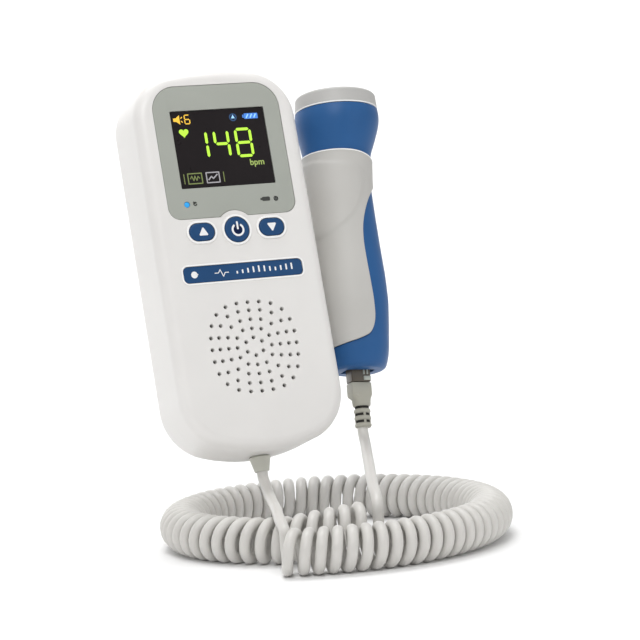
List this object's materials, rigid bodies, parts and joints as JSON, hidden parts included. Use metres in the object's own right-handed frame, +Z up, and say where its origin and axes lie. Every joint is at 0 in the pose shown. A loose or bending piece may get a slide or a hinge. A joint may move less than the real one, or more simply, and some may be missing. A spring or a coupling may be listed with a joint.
{
  "type": "fetal doppler monitor",
  "caption": "Handheld heartbeat doppler with a colour display, keypad and speaker, a probe docked on its side and a curly probe cord laid in a ring.",
  "frame": {"origin": "middle of the upper half of the monitor's flat rear face, where a stand or bracket holds it", "axes": "+Z up, +X towards the docked probe, -Y towards the reader; the monitor leans back 16.2 degrees about X"},
  "size_m": [0.1251, 0.1377, 0.1735],
  "materials": {
    "case_white": "satin",
    "bezel_grey": "satin",
    "window_dark": "polished",
    "module_black": "satin",
    "foam": "matte",
    "light_blue": "polished",
    "light_dark": "polished",
    "key_blue": "satin",
    "mesh_black": "matte",
    "steel": "brushed",
    "cone_black": "matte",
    "magnet": "ground",
    "board_green": "satin",
    "capacitor_blue": "satin",
    "cell": "satin",
    "relief_grey": "matte",
    "cord_jacket": "satin",
    "probe_blue": "satin",
    "grip_grey": "satin",
    "cap_grey": "satin",
    "crystal": "fired ceramic",
    "plug_clear": "clear",
    "boot_grey": "matte"
  },
  "bodies": {
    "monitor": {"front_cover": "case_white", "rear_cover": "case_white", "display_bezel": "bezel_grey", "display_window": "window_dark", "display_module": "module_black", "display_gasket": "foam", "status_light": "light_blue", "battery_light": "light_dark", "keypad_membrane": "foam", "power_switch": "module_black", "volume_up_switch": "module_black", "volume_down_switch": "module_black", "label_strip": "key_blue", "speaker_dust_mesh": "mesh_black", "speaker_gasket": "foam", "speaker_frame": "steel", "speaker_cone": "cone_black", "speaker_magnet": "magnet", "main_board": "board_green", "board_screw_1": "steel", "board_screw_2": "steel", "board_screw_3": "steel", "board_screw_4": "steel", "processor_chip": "module_black", "amplifier_chip": "module_black", "board_capacitor": "capacitor_blue", "case_screw_1": "steel", "case_screw_2": "steel", "case_screw_3": "steel", "case_screw_4": "steel", "battery_cell_left": "cell", "battery_cell_right": "cell", "tip_contact_left": "steel", "tip_contact_right": "steel", "battery_spring_left": "steel", "battery_spring_right": "steel", "probe_dock": "case_white", "cord_strain_relief": "relief_grey", "cord_unit_stretch": "cord_jacket", "curly_cord": "cord_jacket", "cord_probe_stretch": "cord_jacket"},
    "battery_door": {"battery_door": "case_white"},
    "power_button": {"power_button": "key_blue"},
    "volume_up_button": {"volume_up_button": "key_blue"},
    "volume_down_button": {"volume_down_button": "key_blue"},
    "probe": {"probe_body": "probe_blue", "probe_grip_panel": "grip_grey", "probe_collar": "probe_blue", "probe_lens_cap": "cap_grey", "transducer_crystal": "crystal", "transducer_backing": "foam", "probe_seal_ring": "foam", "probe_board": "board_green", "probe_jack": "module_black"},
    "plug": {"plug_nose": "plug_clear", "plug_boot": "boot_grey"}
  },
  "joints": [
    {"name": "power_button_press", "type": "slide", "parent": "monitor", "child": "power_button", "axis": [0, 0.9603, -0.279], "range_m": [0, 0.0008], "stiffness_N_per_m": 1500, "springref_m": -0.0002},
    {"name": "volume_up_button_press", "type": "slide", "parent": "monitor", "child": "volume_up_button", "axis": [0, 0.9603, -0.279], "range_m": [0, 0.0008], "stiffness_N_per_m": 1500, "springref_m": -0.0002},
    {"name": "volume_down_button_press", "type": "slide", "parent": "monitor", "child": "volume_down_button", "axis": [0, 0.9603, -0.279], "range_m": [0, 0.0008], "stiffness_N_per_m": 1500, "springref_m": -0.0002},
    {"name": "battery_door_hinge", "type": "hinge", "parent": "monitor", "child": "battery_door", "pos_m": [0, -0.02609, -0.08979], "axis": [-1, 0, 0], "range_deg": [0, 75]},
    {"name": "probe_undock", "type": "slide", "parent": "monitor", "child": "probe", "axis": [0.0946, 0.2777, 0.956], "range_m": [0, 0.026], "deforming": ["cord_probe_stretch"]},
    {"name": "plug_pull", "type": "slide", "parent": "probe", "child": "plug", "axis": [-0.0946, -0.2777, -0.956], "range_m": [0, 0.01], "deforming": ["cord_probe_stretch"]}
  ]
}
